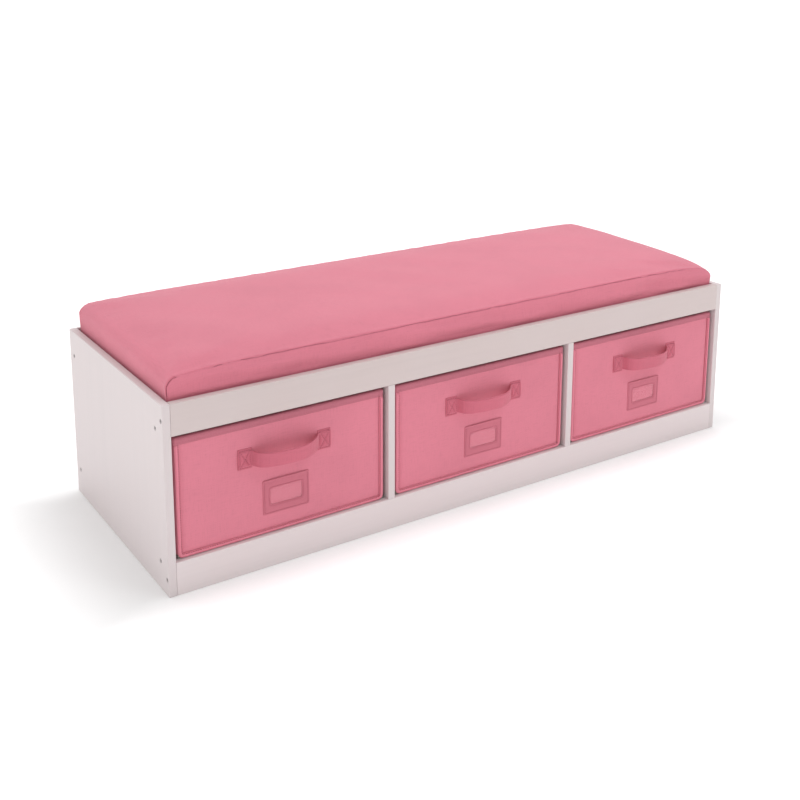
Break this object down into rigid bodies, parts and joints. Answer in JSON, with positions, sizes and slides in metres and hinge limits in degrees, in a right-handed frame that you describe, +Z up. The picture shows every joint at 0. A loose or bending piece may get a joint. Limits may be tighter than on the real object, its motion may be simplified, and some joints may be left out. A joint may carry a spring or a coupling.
{
  "type": "toy storage bench",
  "caption": "Low wooden storage bench with a padded seat cushion in a shallow recess and open bays, each holding a pull-out fabric toy bin with a strap handle.",
  "frame": {"origin": "on the floor, in the middle of the whole bench's footprint, strap handles included", "axes": "+X runs along the bench, -Y is the open front with the bins, +Z is up"},
  "size_m": [1.1, 0.416, 0.332],
  "materials": {
    "painted_board": "satin",
    "back_board": "matte",
    "painted_screw": "satin",
    "zinc_steel": "satin",
    "dowel_wood": "matte",
    "foam": "matte",
    "cushion_cloth": "matte",
    "zip_tape": "matte",
    "bin_cloth": "matte",
    "binding_cloth": "matte",
    "lining_cloth": "matte",
    "chipboard": "matte",
    "webbing": "matte",
    "clear_vinyl": "gloss"
  },
  "bodies": {
    "case": {"end_panel_left": "painted_board", "end_panel_right": "painted_board", "front_top_rail": "painted_board", "front_bottom_rail": "painted_board", "seat_panel": "painted_board", "bottom_shelf": "painted_board", "back_panel": "back_board", "divider_left": "painted_board", "divider_right": "painted_board", "end_screws_left": "painted_screw", "end_screws_right": "painted_screw", "divider_screws_upper": "zinc_steel", "divider_screws_lower": "zinc_steel", "seat_rail_dowels": "dowel_wood", "shelf_rail_dowels": "dowel_wood", "back_panel_nails": "zinc_steel"},
    "cushion": {"cushion_foam": "foam", "cushion_cover": "cushion_cloth", "cushion_zip": "zip_tape"},
    "bin_left": {"bin_left_cover": "bin_cloth", "bin_left_wall_boards": "chipboard", "bin_left_lining": "lining_cloth", "bin_left_hem": "binding_cloth", "bin_left_edging": "binding_cloth", "bin_left_handle": "webbing", "bin_left_handle_patches": "bin_cloth", "bin_left_label_pocket": "bin_cloth", "bin_left_label_window": "clear_vinyl"},
    "bin_middle": {"bin_middle_cover": "bin_cloth", "bin_middle_wall_boards": "chipboard", "bin_middle_lining": "lining_cloth", "bin_middle_hem": "binding_cloth", "bin_middle_edging": "binding_cloth", "bin_middle_handle": "webbing", "bin_middle_handle_patches": "bin_cloth", "bin_middle_label_pocket": "bin_cloth", "bin_middle_label_window": "clear_vinyl"},
    "bin_right": {"bin_right_cover": "bin_cloth", "bin_right_wall_boards": "chipboard", "bin_right_lining": "lining_cloth", "bin_right_hem": "binding_cloth", "bin_right_edging": "binding_cloth", "bin_right_handle": "webbing", "bin_right_handle_patches": "bin_cloth", "bin_right_label_pocket": "bin_cloth", "bin_right_label_window": "clear_vinyl"},
    "base_board_left": {"bin_left_base_board": "chipboard"},
    "base_board_middle": {"bin_middle_base_board": "chipboard"},
    "base_board_right": {"bin_right_base_board": "chipboard"}
  },
  "joints": [
    {"name": "cushion_lift", "type": "slide", "parent": "case", "child": "cushion", "axis": [0, 0, 1], "range_m": [0, 0.1]},
    {"name": "bin_left_slide", "type": "slide", "parent": "case", "child": "bin_left", "axis": [0, -1, 0], "range_m": [0, 0.34]},
    {"name": "bin_middle_slide", "type": "slide", "parent": "case", "child": "bin_middle", "axis": [0, -1, 0], "range_m": [0, 0.34]},
    {"name": "bin_right_slide", "type": "slide", "parent": "case", "child": "bin_right", "axis": [0, -1, 0], "range_m": [0, 0.34]},
    {"name": "base_board_left_lift", "type": "slide", "parent": "bin_left", "child": "base_board_left", "axis": [0, 0, 1], "range_m": [0, 0.16]},
    {"name": "base_board_middle_lift", "type": "slide", "parent": "bin_middle", "child": "base_board_middle", "axis": [0, 0, 1], "range_m": [0, 0.16]},
    {"name": "base_board_right_lift", "type": "slide", "parent": "bin_right", "child": "base_board_right", "axis": [0, 0, 1], "range_m": [0, 0.16]}
  ]
}
